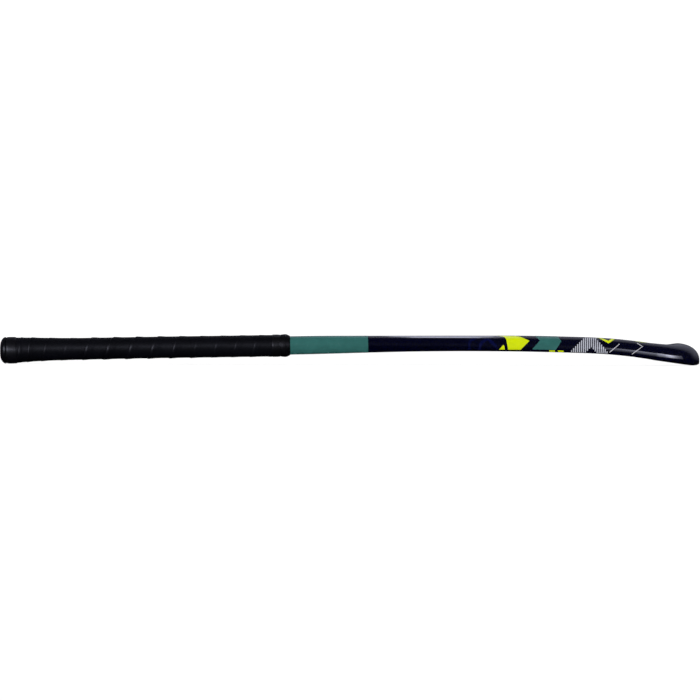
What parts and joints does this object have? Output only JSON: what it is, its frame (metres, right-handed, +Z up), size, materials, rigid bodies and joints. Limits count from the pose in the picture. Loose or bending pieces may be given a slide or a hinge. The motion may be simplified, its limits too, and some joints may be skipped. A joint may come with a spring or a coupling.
{
  "type": "field hockey stick",
  "caption": "Composite field hockey stick with a bowed shaft, a flat playing face, a curved hook head and a spirally wrapped cushioned grip.",
  "frame": {"origin": "centre of the bounding box in plan, on the ground that the stick lies on", "axes": "+X along the stick from the butt end to the hook, +Y towards the toe, +Z up, with the flat playing face down and the bow up"},
  "size_m": [0.9274, 0.1113, 0.0401],
  "materials": {
    "navy_lacquer": "glossy clear lacquer over dark navy paint on glass cloth",
    "carbon_laminate": "woven carbon fibre in epoxy",
    "aramid": "woven aramid in epoxy",
    "tube_laminate": "moulded fibre tube",
    "head_foam": "rigid polyurethane foam",
    "plug_foam": "rigid foam",
    "cushion_foam": "closed-cell foam strip",
    "grip_wrap": "black polyurethane grip strip, spirally wound",
    "butt_band": "glossy black tape",
    "finishing_tape": "satin black tape",
    "collar_rubber": "soft black rubber ring",
    "cap_rubber": "moulded black rubber",
    "badge_plastic": "plain teal disc with no mark",
    "face_compound": "fine-grained gripping compound",
    "teal_paint": "teal paint under gloss lacquer",
    "lime_print": "lime print under gloss lacquer",
    "white_print": "off-white print under gloss lacquer",
    "silver_print": "light grey print under gloss lacquer",
    "blue_print": "dark blue print under gloss lacquer"
  },
  "bodies": {
    "root": {"outer_skin": "navy_lacquer", "carbon_laminate": "carbon_laminate", "aramid_head_sleeve": "aramid", "inner_tube_heel": "tube_laminate", "inner_tube_toe": "tube_laminate", "head_foam_core": "head_foam", "handle_plug": "plug_foam", "playing_face_panel": "face_compound", "butt_cap": "cap_rubber", "butt_badge": "badge_plastic", "butt_band": "butt_band", "grip_cushion": "cushion_foam", "grip_wrap": "grip_wrap", "finishing_tape": "finishing_tape", "grip_collar": "collar_rubber", "paint_teal_band": "teal_paint", "print_lime_block": "lime_print", "print_lime_corner": "lime_print", "print_teal_chevron": "teal_paint", "print_lime_dashes": "lime_print", "print_lime_vee": "lime_print", "print_lime_far_vee": "lime_print", "print_white_slash": "white_print", "print_white_arrow": "white_print", "print_blue_arches": "blue_print", "print_striped_chevron": "silver_print"}
  },
  "joints": []
}
